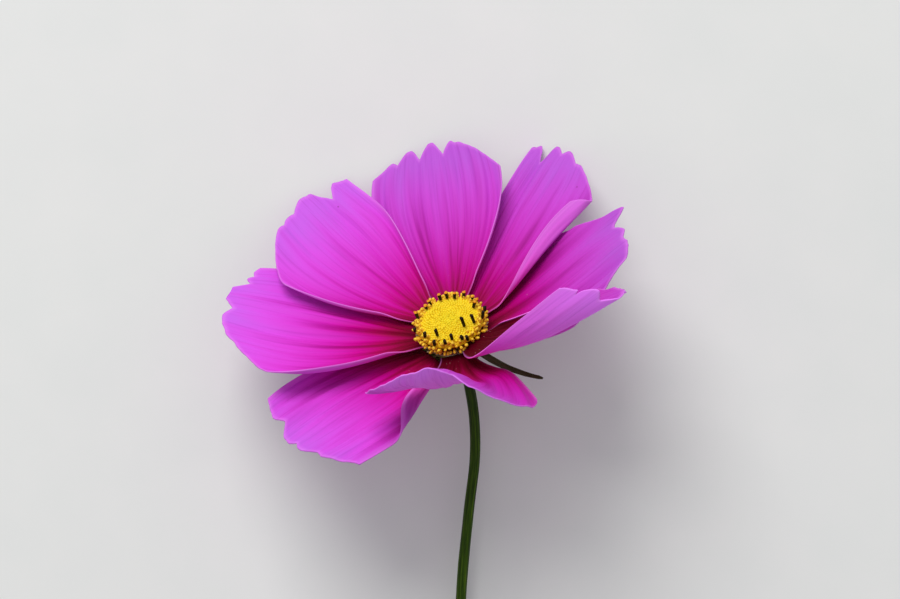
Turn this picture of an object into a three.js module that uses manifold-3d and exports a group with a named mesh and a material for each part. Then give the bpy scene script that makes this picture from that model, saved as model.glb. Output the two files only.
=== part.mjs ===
// A cut cosmos flower, lying on its back. Millimetres, +Z up, the stem along -Y.
// The head's own frame has its origin where the petals are seated, its X to the
// flower's right, its Y to the top petal and its Z along the axis of the head.
import * as THREE from 'three';
import * as BufferGeometryUtils from 'three/addons/utils/BufferGeometryUtils.js';
import Module from 'manifold-3d';

const wasm = await Module();
wasm.setup();

// Driving dimensions, in millimetres and degrees
const HEAD_TILT = 43.8; // the head's axis from the vertical
const HEAD_SWING = 16.9; // the tilt's direction, from +Y toward -X

const PETAL_THICKNESS = 0.6;
const PETAL_ROWS = 14;
const PETAL_COLUMNS = 14;
const RIB_STEPS = 60;
const SEAT_RADIUS = 5.6; // where a petal's claw leaves the receptacle
const CLAW = 2.1; // half width of that claw
const SHOULDER = 0.72; // how far out a petal is widest
const FLARE = 1.15; // how late it widens
const TIP = 0.8; // what is left of its width at the tip
const CORNER = 0.22; // how much shorter it is at the sides of the tip
const CORNER_POWER = 2.6;
const NOTCH_POWER = 1.4;
const PLEAT_DEPTH = 0.5; // the two long folds of a petal
const PLEAT_PLACES = [-0.36, 0.3];
const PLEAT_WIDTH = 0.13;

const STEM_RADIUS = 1.0;
const STEM_SIDES = 10;
const STEM_STEPS = 34;

const BRACT_THICKNESS = 0.6;
const INNER_BRACTS = 8;
const INNER_BRACT_LENGTH = 6;
const INNER_BRACT_LIFTS = [0, 4];
const INNER_BRACT_WIDTHS = [1.6, 2.2, 0.5]; // half widths at foot, middle and tip
const INNER_BRACT_FOOT = { radius: 3.2, height: -3.5 };
const OUTER_BRACT_WIDTHS = [1.1, 0.8, 0.3];
const OUTER_BRACT_FOOT = { radius: 3.0, height: -3.9 };

const DISC_RADIUS = 6.6;
const DISC_FOOT = 0.5;
const DISC_RIM = 2.6;
const DISC_TOP = 3.6;
const RIM_FLORETS = 24;
const RIM_FLORET_PLACE = 6.75;
const RIM_FLORET_SIZE = 0.68;
const RING_FLORET_PLACE = 5.75;
const RING_FLORET_SIZE = 0.62;
const INNER_FLORETS = 24;
const INNER_FLORET_REACH = 4.7;
const INNER_FLORET_SIZE = 0.6;
const FLORET_RISE = 0.15; // how far a closed floret's middle stands above the dome
const ANTHER_TUBES = 12;
const ANTHER_PLACES = [6.2, 5.2];
const ANTHER_LENGTH = 2.0;
const ANTHER_RADII = [0.32, 0.36];
const ANTHER_LEAN = 20;
const ANTHER_RISE = 0.5;

const RAD = Math.PI / 180;

// Each petal: bearing and height of its seat, length, half widths, lift at foot, middle
// and tip, sweep of the midrib, twist, and cup at foot, middle and tip. Pairs are for
// its counter-clockwise and its clockwise half. The tip is cut by notches [place, depth,
// half opening]; a negative depth is a tooth. Folds are [x, y, heading, radius, turn],
// along a line in the flat petal.
const PETALS = [
  {
    name: 'petal_left', bearing: 179, seat: -0.4, length: 39, width: [15.8, 12],
    claw: [2.8, 2.1], lift: [18, 16, 10], sweep: -16, twist: 8, cup: [6, 2, 0], tip: [0.9, 0.88],
    corner: [0.33, 0.1], cornerPower: 2.1,
    notches: [[0.04, 0.05, 0.22], [-0.34, -0.14, 0.26], [-0.6, 0.05, 0.14], [-0.78, 0.03, 0.1]],
  },
  {
    name: 'petal_upper_left', bearing: 140, seat: 0.7, length: 37.2, width: [15.5, 10.6],
    lift: [24, 16, 6], sweep: -15, twist: 3, cup: [6, 8, 4], tip: [0.85, 0.92],
    corner: [0.4, 0.06], cornerPower: 2.2,
    notches: [[-0.5, 0.11, 0.24], [0.18, 0.05, 0.2], [0.4, 0.03, 0.2]],
  },
  {
    name: 'petal_top', bearing: 92, seat: -0.3, length: 35.5, width: [13.3, 12.8],
    lift: [22, 21, 17], twist: -9, cup: [4, 4, 0],
    corner: [0.16, 0.24], notches: [[-0.15, 0.09, 0.18], [0.27, 0.08, 0.16], [0.64, 0.04, 0.1]],
  },
  {
    name: 'petal_upper_right', bearing: 60, seat: -1.4, length: 39.8, width: [5.4, 15.4],
    lift: [20, 13, -4], sweep: -1, twist: -9, cup: [10, 8, 4], claw: [2.1, 2.8],
    tip: [1.05, 0.82], corner: [0.04, 0.38], cornerPower: 2.1,
    notches: [[0.38, 0.11, 0.28], [-0.12, 0.04, 0.12], [-0.4, 0.03, 0.12]],
    folds: [[26, -12.4, 162, 1.2, 130]],
  },
  {
    name: 'petal_right', bearing: 5, seat: -2.3, length: 35.8, width: [16.6, 12], flare: [0.8, 1],
    lift: [12, 33, 30], sweep: 3, twist: -8, cup: [-6, -4, 0], claw: [4.4, 2.1],
    tip: [0.95, 0.95], corner: [0.58, 0.45],
    notches: [[0.56, -0.13, 0.12], [0.38, 0.06, 0.14], [0.1, 0.04, 0.3]],
  },
  {
    name: 'petal_lower_right', bearing: -40, seat: 0.8, length: 39.4, width: [7.6, 11],
    flare: [1.5, 0.55], lift: [28, 30, 26], sweep: 42, twist: -30, cup: [4, 10, 12], claw: [2.1, 2.8],
    shoulder: [0.72, 0.96], corner: [0.22, 0.18],
    notches: [[-0.45, 0.05, 0.12], [-0.2, 0.04, 0.1], [-0.75, 0.05, 0.1]],
    folds: [[36, -1, 187, 4, 88]],
  },
  {
    name: 'petal_front', bearing: -84, seat: -0.8, length: 35, width: [17.8, 18], flare: [1.5, 1.8],
    lift: [8, 46, 60], sweep: -2, twist: -5, cup: [4, 6, 0], claw: [3, 3.1],
    corner: [0.5, 0.4], cornerPower: 2.2, notches: [[0.1, 0.05, 0.3]],
    folds: [[14, 0, 240, 8, 12], [17, 4, -30, 6, -38], [18, -5, 210, 8, -14]],
  },
  {
    name: 'petal_lower_left', bearing: -138, seat: -2.8, length: 35.4, width: [12.6, 14],
    lift: [10, 12, 12], sweep: 4, cup: [0, 0, 0], claw: [1.2, 4.4], flare: [0.8, 0.8],
    shoulder: [0.4, 0.72], tip: [0.95, 0.88], corner: [0.14, 0.16], cornerPower: 1.8,
    notches: [[-0.5, 0.06, 0.2], [0.3, 0.05, 0.2], [-0.05, 0.03, 0.1]],
    folds: [[6.4, 5.4, 24, 0.7, 160]],
  },
];

// Outer bracts: bearing, length, lift at the foot and at the tip
const OUTER_BRACTS = [
  [-4, 17, -52, -32],
  [21, 12, -30, -5],
  [66, 12, -25, -5],
  [111, 12, -25, -5],
  [156, 12, -25, 0],
  [-159, 12, -15, 5],
  [-114, 7, 0, 8],
  [-69, 8, 5, 20],
];

// The stem's course from the head's back to the cut end, seen from the head's seat
const STEM_COURSE = [
  [1.0, -3.3, -3.6],
  [1.9, -6.1, -6.6],
  [3.1, -10.5, -10.3],
  [4.1, -17, -13.2],
  [4.2, -25, -14.5],
  [3.0, -35.5, -15.1],
  [1.6, -51, -15.7],
  [0.8, -75, -17],
  [0.6, -104, -18.3],
];

const green = new THREE.MeshStandardMaterial({ color: 0x4a5f1c, roughness: 0.6 });
const stemGreen = new THREE.MeshStandardMaterial({ color: 0x47601a, roughness: 0.55 });
const yellow = new THREE.MeshStandardMaterial({ color: 0xe6b713, roughness: 0.7 });

function petalMaterial() {
  return new THREE.MeshStandardMaterial({ color: 0xd042c4, roughness: 0.5 });
}

// The value at t of the curve through three values at 0, 0.5 and 1
function through([a, b, c], t) {
  return a * (1 - t) * (1 - 2 * t) + b * 4 * t * (1 - t) + c * t * (2 * t - 1);
}

function smoothStep(from, to, x) {
  const t = THREE.MathUtils.clamp((x - from) / (to - from), 0, 1);
  return t * t * (3 - 2 * t);
}

// The midrib as a row of places, each with its own forward, sideways and upward axis
function midrib(petal) {
  const step = petal.length / RIB_STEPS;
  const seatAngle = petal.bearing * RAD;
  const place = new THREE.Vector3(
    SEAT_RADIUS * Math.cos(seatAngle),
    SEAT_RADIUS * Math.sin(seatAngle),
    petal.seat,
  );
  const rib = [];
  for (let i = 0; i <= RIB_STEPS; i += 1) {
    const t = i / RIB_STEPS;
    const yaw = (petal.bearing + (petal.sweep ?? 0) * t) * RAD;
    const lift = through(petal.lift, t) * RAD;
    const roll = (petal.twist ?? 0) * t * RAD;
    const forward = new THREE.Vector3(
      Math.cos(lift) * Math.cos(yaw),
      Math.cos(lift) * Math.sin(yaw),
      Math.sin(lift),
    );
    const side = new THREE.Vector3(-Math.sin(yaw), Math.cos(yaw), 0);
    side.applyAxisAngle(forward, roll);
    const up = new THREE.Vector3().crossVectors(forward, side);
    rib.push({ place: place.clone(), forward, side, up });
    place.addScaledVector(forward, step);
  }
  return rib;
}

function halfWidth(petal, t, v) {
  const hand = v > 0 ? 0 : 1;
  const full = petal.width[hand];
  const claw = (petal.claw ?? [CLAW, CLAW])[hand];
  const shoulder = (petal.shoulder ?? [SHOULDER, SHOULDER])[hand];
  if (t < shoulder) {
    const flare = (petal.flare ?? [FLARE, FLARE])[hand];
    const swell = Math.sin(((t / shoulder) * Math.PI) / 2) ** flare;
    return claw + (full - claw) * swell;
  }
  const narrowing = 1 - (petal.tip ?? [TIP, TIP])[hand];
  const k = (t - shoulder) / (1 - shoulder);
  return full * (1 - narrowing * k * k);
}

// How far the petal reaches at v, from -1 to 1 across it, with its rounded corners
// and the notches between the teeth of its tip
function reach(petal, v) {
  const corner = (petal.corner ?? [CORNER, CORNER])[v > 0 ? 0 : 1];
  let length = 1 - corner * Math.abs(v) ** (petal.cornerPower ?? CORNER_POWER);
  for (const [centre, depth, halfOpening] of petal.notches) {
    const closeness = Math.max(0, 1 - Math.abs(v - centre) / halfOpening);
    length -= depth * closeness ** NOTCH_POWER;
  }
  return length;
}

function pleat(t, v) {
  let height = 0;
  for (const centre of PLEAT_PLACES) {
    height -= PLEAT_DEPTH * Math.exp(-(((v - centre) / PLEAT_WIDTH) ** 2));
  }
  return height * smoothStep(0.05, 0.5, t);
}

// Turns the part of a flat petal beyond a line up, or down for a negative turn,
// round a cylinder that lies along the line
function fold(point, [lineX, lineY, heading, radius, turn]) {
  const along = new THREE.Vector2(Math.cos(heading * RAD), Math.sin(heading * RAD));
  const beyond = -(point.x - lineX) * along.y + (point.y - lineY) * along.x;
  if (beyond <= 0) {
    return;
  }
  const angle = Math.min(beyond / radius, Math.abs(turn) * RAD);
  const rest = beyond - angle * radius;
  const across = radius * Math.sin(angle) + rest * Math.cos(angle);
  const height = radius * (1 - Math.cos(angle)) + rest * Math.sin(angle);
  point.x -= along.y * (across - beyond);
  point.y += along.x * (across - beyond);
  point.z += Math.sign(turn) * height;
}

// A point of the petal's middle surface: u from foot to tip, v across it
function petalPoint(petal, rib, u, v) {
  const t = Math.min(1, u * reach(petal, v));
  const point = new THREE.Vector3(t * petal.length, v * halfWidth(petal, t, v), pleat(t, v));
  for (const line of petal.folds ?? []) {
    fold(point, line);
  }
  const s = THREE.MathUtils.clamp(point.x / petal.length, 0, 1);
  const index = Math.min(RIB_STEPS - 1, Math.floor(s * RIB_STEPS));
  const blend = (point.x / petal.length) * RIB_STEPS - index;
  const curvature = (through(petal.cup, s) * RAD) / petal.width[point.y > 0 ? 0 : 1];
  const bend = curvature * point.y;
  const flat = Math.abs(curvature) < 1e-6;
  const across = flat ? point.y : Math.sin(bend) / curvature;
  const rise = flat ? 0 : (1 - Math.cos(bend)) / curvature;
  const here = rib[index];
  const next = rib[index + 1];
  const result = new THREE.Vector3().lerpVectors(here.place, next.place, blend);
  const side = new THREE.Vector3().lerpVectors(here.side, next.side, blend);
  const up = new THREE.Vector3().lerpVectors(here.up, next.up, blend);
  result.addScaledVector(side, across - Math.sin(bend) * point.z);
  result.addScaledVector(up, rise + Math.cos(bend) * point.z);
  return result;
}

// Even columns, closer at the margins, and one at the middle and sides of each notch
function petalColumns(petal) {
  const columns = [];
  for (const [centre, , halfOpening] of petal.notches) {
    columns.push(centre - halfOpening, centre, centre + halfOpening);
  }
  const spacing = 0.06;
  for (let i = 0; i <= PETAL_COLUMNS; i += 1) {
    const s = (2 * i) / PETAL_COLUMNS - 1;
    const v = (s + Math.sin((s * Math.PI) / 2)) / 2;
    const edge = i === 0 || i === PETAL_COLUMNS;
    if (edge || columns.every((other) => Math.abs(other - v) > spacing)) {
      columns.push(v);
    }
  }
  return columns.filter((v) => Math.abs(v) <= 1).sort((a, b) => a - b);
}

// A closed sheet: a grid of points, thickened evenly to both sides
function sheet(grid, thickness) {
  const rows = grid.length;
  const columns = grid[0].length;
  const positions = [];
  for (const face of [0.5, -0.5]) {
    for (let i = 0; i < rows; i += 1) {
      for (let j = 0; j < columns; j += 1) {
        const forward = new THREE.Vector3().subVectors(
          grid[Math.min(i + 1, rows - 1)][j],
          grid[Math.max(i - 1, 0)][j],
        );
        const side = new THREE.Vector3().subVectors(
          grid[i][Math.min(j + 1, columns - 1)],
          grid[i][Math.max(j - 1, 0)],
        );
        const normal = forward.cross(side).normalize();
        positions.push(...grid[i][j].clone().addScaledVector(normal, face * thickness));
      }
    }
  }
  const at = (face, i, j) => (face * rows + i) * columns + j;
  const index = [];
  for (let i = 0; i < rows - 1; i += 1) {
    for (let j = 0; j < columns - 1; j += 1) {
      index.push(at(0, i, j), at(0, i + 1, j), at(0, i + 1, j + 1));
      index.push(at(0, i, j), at(0, i + 1, j + 1), at(0, i, j + 1));
      index.push(at(1, i, j), at(1, i + 1, j + 1), at(1, i + 1, j));
      index.push(at(1, i, j), at(1, i, j + 1), at(1, i + 1, j + 1));
    }
  }
  const rim = [];
  for (let j = 0; j < columns - 1; j += 1) {
    rim.push([0, j]);
  }
  for (let i = 0; i < rows - 1; i += 1) {
    rim.push([i, columns - 1]);
  }
  for (let j = columns - 1; j > 0; j -= 1) {
    rim.push([rows - 1, j]);
  }
  for (let i = rows - 1; i > 0; i -= 1) {
    rim.push([i, 0]);
  }
  rim.forEach(([i, j], k) => {
    const [m, n] = rim[(k + 1) % rim.length];
    index.push(at(0, i, j), at(0, m, n), at(1, m, n));
    index.push(at(0, i, j), at(1, m, n), at(1, i, j));
  });
  const geometry = new THREE.BufferGeometry();
  geometry.setAttribute('position', new THREE.Float32BufferAttribute(positions, 3));
  geometry.setIndex(index);
  return geometry;
}

function petalGeometry(petal) {
  const rib = midrib(petal);
  const columns = petalColumns(petal);
  const grid = [];
  for (let i = 0; i <= PETAL_ROWS; i += 1) {
    grid.push(columns.map((v) => petalPoint(petal, rib, i / PETAL_ROWS, v)));
  }
  return sheet(grid, PETAL_THICKNESS);
}

// Joining of closed meshes
function toSolid(geometry) {
  const bare = geometry.clone();
  bare.deleteAttribute('normal');
  bare.deleteAttribute('uv');
  const merged = BufferGeometryUtils.mergeVertices(bare, 1e-4);
  return new wasm.Manifold(new wasm.Mesh({
    numProp: 3,
    vertProperties: new Float32Array(merged.attributes.position.array),
    triVerts: new Uint32Array(merged.index.array),
  }));
}

function toGeometry(solid) {
  const mesh = solid.getMesh();
  const geometry = new THREE.BufferGeometry();
  geometry.setAttribute('position', new THREE.Float32BufferAttribute(mesh.vertProperties, 3));
  geometry.setIndex(Array.from(mesh.triVerts));
  geometry.computeVertexNormals();
  return geometry;
}

function join(geometries) {
  let solid = toSolid(geometries[0]);
  for (const geometry of geometries.slice(1)) {
    solid = solid.add(toSolid(geometry));
  }
  return toGeometry(solid);
}

// A turned body about the head's axis, from [radius, height] pairs that go up
function turned(profile, sides) {
  const points = profile.map(([radius, height]) => new THREE.Vector2(radius, height));
  const geometry = new THREE.LatheGeometry(points, sides);
  geometry.rotateX(Math.PI / 2);
  return geometry;
}

// A narrow blade from the receptacle: half widths and lifts along it
function bractGeometry(bearing, foot, length, lifts, widths, rows) {
  const yaw = bearing * RAD;
  const outward = new THREE.Vector3(Math.cos(yaw), Math.sin(yaw), 0);
  const side = new THREE.Vector3(-Math.sin(yaw), Math.cos(yaw), 0);
  const place = outward.clone().multiplyScalar(foot.radius);
  place.z = foot.height;
  const grid = [];
  for (let i = 0; i <= rows; i += 1) {
    const t = i / rows;
    const lift = THREE.MathUtils.lerp(lifts[0], lifts[1], t) * RAD;
    const half = through(widths, t);
    grid.push([-1, 0, 1].map((v) => place.clone().addScaledVector(side, v * half)));
    place.addScaledVector(outward, (Math.cos(lift) * length) / rows);
    place.z += (Math.sin(lift) * length) / rows;
  }
  return sheet(grid, BRACT_THICKNESS);
}

// The green cup under the petals with eight short inner and eight outer bracts
function involucreGeometry() {
  const cup = turned([
    [0, -4.6],
    [1.5, -4.6],
    [2.6, -4.2],
    [4.3, -3.6],
    [5.2, -2.7],
    [5.2, 0.1],
    [0, 0.1],
  ], 24);
  const pieces = [cup];
  for (let i = 0; i < INNER_BRACTS; i += 1) {
    const bearing = (360 * i) / INNER_BRACTS;
    const length = INNER_BRACT_LENGTH;
    const lifts = INNER_BRACT_LIFTS;
    pieces.push(bractGeometry(bearing, INNER_BRACT_FOOT, length, lifts, INNER_BRACT_WIDTHS, 3));
  }
  for (const [bearing, length, footLift, tipLift] of OUTER_BRACTS) {
    const lifts = [footLift, tipLift];
    pieces.push(bractGeometry(bearing, OUTER_BRACT_FOOT, length, lifts, OUTER_BRACT_WIDTHS, 5));
  }
  return join(pieces);
}

// Height of the disc's dome at a distance from its axis
function domeHeight(radius) {
  return DISC_TOP - (DISC_TOP - DISC_RIM) * (radius / DISC_RADIUS) ** 2;
}

function openFloret(radius, bearing) {
  const geometry = new THREE.IcosahedronGeometry(RIM_FLORET_SIZE, 0);
  geometry.translate(radius * Math.cos(bearing), radius * Math.sin(bearing), DISC_RIM);
  return geometry;
}

function closedFloret(radius, bearing, size) {
  const geometry = new THREE.OctahedronGeometry(size, 0);
  const height = domeHeight(radius) + FLORET_RISE;
  geometry.rotateX(Math.PI / 2);
  geometry.translate(radius * Math.cos(bearing), radius * Math.sin(bearing), height);
  return geometry;
}

// A dark tube of anthers that stands out of an open floret
function antherTube(radius, bearing) {
  const geometry = new THREE.CylinderGeometry(...ANTHER_RADII, ANTHER_LENGTH, 5);
  geometry.rotateX(Math.PI / 2);
  geometry.rotateY(ANTHER_LEAN * RAD);
  geometry.translate(radius, 0, domeHeight(radius) + ANTHER_RISE);
  geometry.rotateZ(bearing);
  return geometry;
}

// The yellow centre: a low dome set with closed florets inside and open ones outside
function discGeometry() {
  const dome = turned([
    [0, DISC_FOOT],
    [4.9, DISC_FOOT],
    [5.5, 1.4],
    [6.3, 2.0],
    [DISC_RADIUS, DISC_RIM - 0.2],
    [6.2, domeHeight(6.2)],
    [4.6, domeHeight(4.6)],
    [2.4, domeHeight(2.4)],
    [0, DISC_TOP],
  ], 28);
  const pieces = [dome];
  for (let i = 0; i < RIM_FLORETS; i += 1) {
    const bearing = (i * 2 * Math.PI) / RIM_FLORETS;
    const between = bearing + Math.PI / RIM_FLORETS;
    pieces.push(openFloret(RIM_FLORET_PLACE, bearing));
    pieces.push(closedFloret(RING_FLORET_PLACE, between, RING_FLORET_SIZE));
  }
  const goldenAngle = Math.PI * (3 - Math.sqrt(5));
  for (let i = 0; i < INNER_FLORETS; i += 1) {
    const radius = INNER_FLORET_REACH * Math.sqrt((i + 0.5) / INNER_FLORETS);
    pieces.push(closedFloret(radius, i * goldenAngle, INNER_FLORET_SIZE));
  }
  for (let i = 0; i < ANTHER_TUBES; i += 1) {
    const bearing = ((i + 0.3) * 2 * Math.PI) / ANTHER_TUBES;
    pieces.push(antherTube(ANTHER_PLACES[i % 2], bearing));
  }
  return join(pieces);
}

function stemGeometry() {
  const section = new THREE.Shape();
  for (let i = 0; i < STEM_SIDES; i += 1) {
    const angle = (i * 2 * Math.PI) / STEM_SIDES;
    const x = STEM_RADIUS * Math.cos(angle);
    const y = STEM_RADIUS * Math.sin(angle);
    if (i === 0) {
      section.moveTo(x, y);
    } else {
      section.lineTo(x, y);
    }
  }
  section.closePath();
  const course = new THREE.CatmullRomCurve3(STEM_COURSE.map((p) => new THREE.Vector3(...p)));
  return new THREE.ExtrudeGeometry(section, {
    steps: STEM_STEPS,
    bevelEnabled: false,
    extrudePath: course,
  });
}

function named(name, geometry, material) {
  const mesh = new THREE.Mesh(geometry, material);
  mesh.name = name;
  return mesh;
}

// The head, turned so that its axis leans back from the vertical
const head = new THREE.Group();
const axis = new THREE.Vector3(
  -Math.sin(HEAD_SWING * RAD) * Math.sin(HEAD_TILT * RAD),
  Math.cos(HEAD_SWING * RAD) * Math.sin(HEAD_TILT * RAD),
  Math.cos(HEAD_TILT * RAD),
);
const right = new THREE.Vector3(1, 0, 0).addScaledVector(axis, -axis.x).normalize();
const upward = new THREE.Vector3().crossVectors(axis, right);
head.quaternion.setFromRotationMatrix(new THREE.Matrix4().makeBasis(right, upward, axis));
for (const petal of PETALS) {
  head.add(named(petal.name, petalGeometry(petal), petalMaterial()));
}
head.add(named('disc', discGeometry(), yellow));
head.add(named('involucre', involucreGeometry(), green));

const flower = new THREE.Group();
flower.add(head);
flower.add(named('stem', stemGeometry(), stemGreen));

// The origin goes under the middle of the flower, on the surface it lies on
const box = new THREE.Box3().setFromObject(flower, true);
const middle = box.getCenter(new THREE.Vector3());
flower.position.set(-middle.x, -middle.y, -box.min.z);

const group = new THREE.Group();
group.add(flower);

export default group;
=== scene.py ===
# A cut cosmos flower lying on its back, dressed piece by piece round its CAD nodes.
# The flower is modelled in millimetres and placed in metres, +Z up, the stem along -Y.
import math
import random

import bmesh
import bpy
from mathutils import Matrix, Vector, geometry, noise


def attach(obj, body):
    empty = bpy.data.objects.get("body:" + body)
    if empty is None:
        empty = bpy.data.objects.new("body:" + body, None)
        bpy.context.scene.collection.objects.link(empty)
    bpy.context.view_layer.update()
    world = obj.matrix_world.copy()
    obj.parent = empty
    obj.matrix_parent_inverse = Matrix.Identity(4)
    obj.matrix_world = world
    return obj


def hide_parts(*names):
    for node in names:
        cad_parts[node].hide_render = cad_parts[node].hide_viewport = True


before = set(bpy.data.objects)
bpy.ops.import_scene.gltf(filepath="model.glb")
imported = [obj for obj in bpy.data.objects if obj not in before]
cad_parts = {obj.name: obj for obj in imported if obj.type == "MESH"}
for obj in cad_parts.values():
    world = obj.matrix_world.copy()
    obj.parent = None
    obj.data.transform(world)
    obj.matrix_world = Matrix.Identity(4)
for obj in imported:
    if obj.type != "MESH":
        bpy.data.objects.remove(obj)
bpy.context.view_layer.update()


# --- Stem ---------------------------------------------------------------------
# The flower's own stalk: green, ribbed lengthwise and full of pale pith. It leaves
# the back of the head in a bend, runs nearly straight and was cut across with a knife.
MM = 0.001
HEAD_SEAT = Vector((5.535, 33.655, 20.226))
STEM_COURSE = [
    (1.0, -3.3, -3.6),
    (1.9, -6.1, -6.6),
    (3.1, -10.5, -10.3),
    (4.1, -17.0, -13.2),
    (4.2, -25.0, -14.5),
    (3.0, -35.5, -15.1),
    (1.6, -51.0, -15.7),
    (0.8, -75.0, -17.0),
    (0.6, -104.0, -18.3),
]
STEM_RADIUS = 0.96
STEM_NECK = 0.3  # how much thicker it is where it meets the head
STEM_NECK_LENGTH = 5.0
STEM_RIBS = 8
STEM_RIB_HEIGHT = 0.05
STEM_SIDES = 48
STEM_STEPS_PER_SPAN = 14
STEM_WANDER = 0.04  # how much its radius comes and goes
STEM_WANDER_PITCH = 0.12
SKIN_WIDTH = 0.14  # the green skin round the pith, at the cut
PITH_RIM = 0.08
PITH_DEPTH = 0.12
PITH_CELLS = 5500.0  # cells in a metre


def smooth_step(low, high, x):
    t = min(1.0, max(0.0, (x - low) / (high - low)))
    return t * t * (3 - 2 * t)


def paint(red, green, blue):
    """A display colour, 0 to 255, as the linear colour that a shader takes."""
    def linear(c):
        c /= 255
        return c / 12.92 if c <= 0.04045 else ((c + 0.055) / 1.055) ** 2.4

    return (linear(red), linear(green), linear(blue), 1.0)


def wire(tree, kind, inputs, **settings):
    """A node with its settings, each input given a value or another node's output."""
    node = tree.nodes.new(kind)
    for name, value in settings.items():
        setattr(node, name, value)
    for name, value in inputs.items():
        if isinstance(value, bpy.types.NodeSocket):
            tree.links.new(value, node.inputs[name])
        else:
            node.inputs[name].default_value = value
    return node


def ramp(tree, factor, stops):
    node = wire(tree, "ShaderNodeValToRGB", {"Fac": factor})
    elements = node.color_ramp.elements
    while len(elements) < len(stops):
        elements.new(0.5)
    for element, (position, colour) in zip(elements, stops):
        element.position = position
        element.color = colour
    return node.outputs["Color"]


def blend_colour(tree, factor, first, second, mode="MIX"):
    node = wire(tree, "ShaderNodeMix", {}, data_type="RGBA", blend_type=mode)
    sockets = (node.inputs[0], node.inputs[6], node.inputs[7])
    for socket, value in zip(sockets, (factor, first, second)):
        if isinstance(value, bpy.types.NodeSocket):
            tree.links.new(value, socket)
        else:
            socket.default_value = value
    return node.outputs[2]


def calculate(tree, operation, first, second=0.0, third=0.0):
    node = wire(tree, "ShaderNodeMath", {0: first, 1: second, 2: third}, operation=operation)
    return node.outputs[0]


def fade(tree, value, start, end, low=0.0, high=1.0):
    """low where value is at start, high where it is at end, and smooth between."""
    node = wire(
        tree,
        "ShaderNodeMapRange",
        {"Value": value, "From Min": start, "From Max": end, "To Min": low, "To Max": high},
        interpolation_type="SMOOTHSTEP",
    )
    return node.outputs["Result"]


def blank_material(name):
    material = bpy.data.materials.new(name)
    material.use_nodes = True
    tree = material.node_tree
    tree.nodes.clear()
    shader = tree.nodes.new("ShaderNodeBsdfPrincipled")
    output = tree.nodes.new("ShaderNodeOutputMaterial")
    tree.links.new(shader.outputs["BSDF"], output.inputs["Surface"])
    return material, tree, shader


def roughen(tree, shader, height, distance, strength=1.0):
    bump = wire(
        tree,
        "ShaderNodeBump",
        {"Height": height, "Distance": distance, "Strength": strength},
    )
    tree.links.new(bump.outputs["Normal"], shader.inputs["Normal"])


def grow(name, shape, materials, placed=Matrix.Identity(4)):
    """Makes a piece of a bmesh in millimetres, which placed carries to its place."""
    bmesh.ops.transform(shape, matrix=Matrix.Scale(MM, 4) @ placed, verts=shape.verts)
    mesh = bpy.data.meshes.new(name)
    shape.to_mesh(mesh)
    shape.free()
    mesh.shade_smooth()
    for material in materials:
        mesh.materials.append(material)
    piece = bpy.data.objects.new(name, mesh)
    bpy.context.collection.objects.link(piece)
    return piece


def smooth_course(knots, steps):
    """Places on a smooth curve through the knots."""
    places = []
    for i in range(len(knots) - 1):
        start, end = knots[i], knots[i + 1]
        before = knots[max(i - 1, 0)]
        after = knots[min(i + 2, len(knots) - 1)]
        leave = start + (end - before) / 6
        arrive = end - (after - start) / 6
        places += geometry.interpolate_bezier(start, leave, arrive, end, steps + 1)[:-1]
    places.append(knots[-1])
    return places


def sweep(shape, ring, edges, stations):
    """Draws a ring of edges along the stations, each a matrix; returns the last edges."""
    bmesh.ops.transform(shape, matrix=stations[0], verts=ring)
    for before, here in zip(stations, stations[1:]):
        grown = bmesh.ops.extrude_edge_only(shape, edges=edges)["geom"]
        ring = [part for part in grown if isinstance(part, bmesh.types.BMVert)]
        ends = set(ring)
        edges = [
            part for part in grown
            if isinstance(part, bmesh.types.BMEdge) and ends.issuperset(part.verts)
        ]
        bmesh.ops.transform(shape, matrix=here @ before.inverted(), verts=ring)
    return edges


def station(place, forward, width):
    """The frame of a cross-section, its X to the flower's right."""
    side = (Vector((1, 0, 0)) - forward * forward.x).normalized()
    up = side.cross(forward)
    turn = Matrix((side, up, -forward)).transposed().to_4x4()
    return Matrix.Translation(place) @ turn @ Matrix.Scale(width, 4)


def stem_skin():
    material, tree, shader = blank_material("stem_skin")
    grain = wire(tree, "ShaderNodeAttribute", {}, attribute_name="grain").outputs["Vector"]
    parts = wire(tree, "ShaderNodeSeparateXYZ", {"Vector": grain})
    length = parts.outputs["Z"]
    stretched = wire(tree, "ShaderNodeMapping", {"Vector": grain, "Scale": (3.2, 3.2, 0.14)})
    streaks = wire(
        tree,
        "ShaderNodeTexNoise",
        {"Vector": stretched.outputs["Vector"], "Scale": 1.0, "Detail": 4.0, "Roughness": 0.6},
    ).outputs["Fac"]
    specks = wire(
        tree, "ShaderNodeTexNoise", {"Vector": grain, "Scale": 5.0, "Detail": 2.0}
    ).outputs["Fac"]
    tone = ramp(
        tree,
        streaks,
        [(0.3, paint(22, 38, 0)), (0.5, paint(44, 70, 2)), (0.72, paint(80, 108, 14))],
    )
    # Painted shade: the stalk darkens toward the head, where the head shades it.
    shaded_neck = fade(tree, length, 30.0, 0.0, 0.0, 0.75)
    tone = blend_colour(tree, shaded_neck, tone, paint(18, 26, 1))
    dotted = fade(tree, specks, 0.62, 0.75, 0.0, 0.5)
    tone = blend_colour(tree, dotted, tone, paint(70, 40, 30))
    tree.links.new(tone, shader.inputs["Base Color"])
    tree.links.new(fade(tree, streaks, 0.3, 0.7, 0.42, 0.6), shader.inputs["Roughness"])
    shader.inputs["Specular IOR Level"].default_value = 0.12
    roughen(tree, shader, streaks, 0.08 * MM)
    return material


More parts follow.
